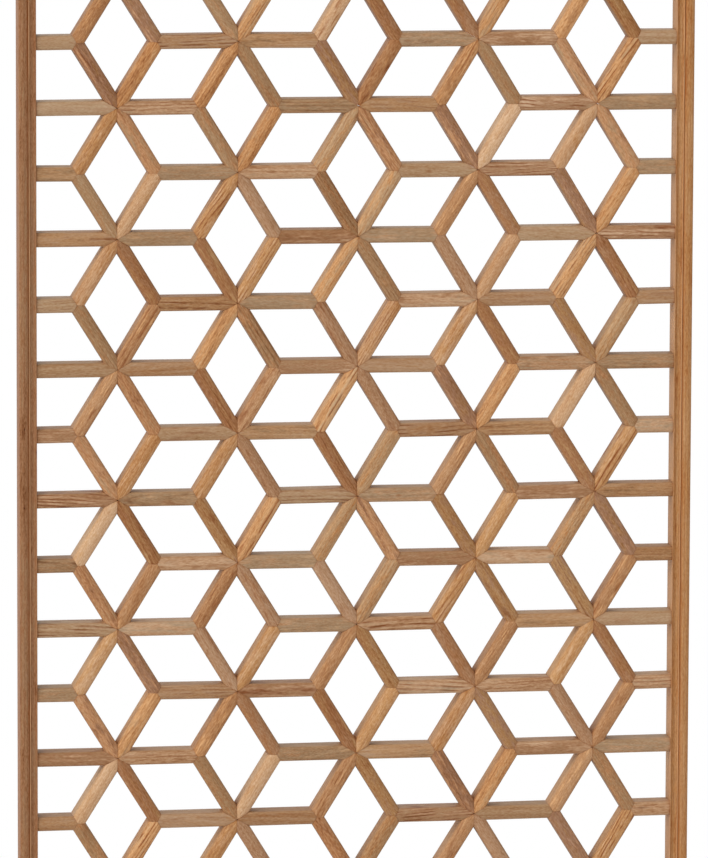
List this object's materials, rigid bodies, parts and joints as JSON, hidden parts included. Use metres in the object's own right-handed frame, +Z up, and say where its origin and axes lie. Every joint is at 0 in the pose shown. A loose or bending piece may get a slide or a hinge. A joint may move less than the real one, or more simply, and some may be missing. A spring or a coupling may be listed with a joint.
{
  "type": "lattice wall panel",
  "caption": "Tall narrow open wooden lattice of mitred, round-faced strips meeting in stars, in a slim moulded frame, with hidden keyhole hangers on its back.",
  "frame": {"origin": "under the middle of the panel: halfway along its lower edge and halfway through its depth", "axes": "+Z up along the stiles, +X to the right as seen from the front, +Y towards the wall; the moulded front faces -Y"},
  "size_m": [0.7, 0.03, 2.058],
  "materials": {
    "frame_wood_left": "hand-planed softwood, oiled and worn, open grain",
    "frame_wood_right": "hand-planed softwood, oiled and worn, open grain",
    "frame_wood_rails": "hand-planed softwood, oiled and worn, open grain",
    "lattice_wood_level": "hand-planed softwood, oiled and worn, open grain",
    "lattice_wood_rising": "hand-planed softwood, oiled and worn, open grain",
    "lattice_wood_falling": "hand-planed softwood, oiled and worn, open grain",
    "peg_wood": "whittled hardwood",
    "hanger_steel": "pressed zinc-plated steel, slightly dulled",
    "screw_steel": "zinc-plated steel"
  },
  "bodies": {
    "root": {"bottom_rail": "frame_wood_rails", "corner_pegs": "peg_wood", "course_01_falling_strips": "lattice_wood_falling", "course_01_level_strips": "lattice_wood_level", "course_01_rising_strips": "lattice_wood_rising", "course_02_falling_strips": "lattice_wood_falling", "course_02_level_strips": "lattice_wood_level", "course_02_rising_strips": "lattice_wood_rising", "course_03_falling_strips": "lattice_wood_falling", "course_03_level_strips": "lattice_wood_level", "course_03_rising_strips": "lattice_wood_rising", "course_04_falling_strips": "lattice_wood_falling", "course_04_level_strips": "lattice_wood_level", "course_04_rising_strips": "lattice_wood_rising", "course_05_falling_strips": "lattice_wood_falling", "course_05_level_strips": "lattice_wood_level", "course_05_rising_strips": "lattice_wood_rising", "course_06_falling_strips": "lattice_wood_falling", "course_06_level_strips": "lattice_wood_level", "course_06_rising_strips": "lattice_wood_rising", "course_07_falling_strips": "lattice_wood_falling", "course_07_level_strips": "lattice_wood_level", "course_07_rising_strips": "lattice_wood_rising", "course_08_falling_strips": "lattice_wood_falling", "course_08_level_strips": "lattice_wood_level", "course_08_rising_strips": "lattice_wood_rising", "course_09_falling_strips": "lattice_wood_falling", "course_09_level_strips": "lattice_wood_level", "course_09_rising_strips": "lattice_wood_rising", "course_10_falling_strips": "lattice_wood_falling", "course_10_level_strips": "lattice_wood_level", "course_10_rising_strips": "lattice_wood_rising", "course_11_falling_strips": "lattice_wood_falling", "course_11_level_strips": "lattice_wood_level", "course_11_rising_strips": "lattice_wood_rising", "course_12_falling_strips": "lattice_wood_falling", "course_12_level_strips": "lattice_wood_level", "course_12_rising_strips": "lattice_wood_rising", "course_13_falling_strips": "lattice_wood_falling", "course_13_level_strips": "lattice_wood_level", "course_13_rising_strips": "lattice_wood_rising", "course_14_falling_strips": "lattice_wood_falling", "course_14_level_strips": "lattice_wood_level", "course_14_rising_strips": "lattice_wood_rising", "course_15_falling_strips": "lattice_wood_falling", "course_15_level_strips": "lattice_wood_level", "course_15_rising_strips": "lattice_wood_rising", "hanger_screws": "screw_steel", "left_hanger_plate": "hanger_steel", "left_stile": "frame_wood_left", "right_hanger_plate": "hanger_steel", "right_stile": "frame_wood_right", "top_rail": "frame_wood_rails"}
  },
  "joints": []
}
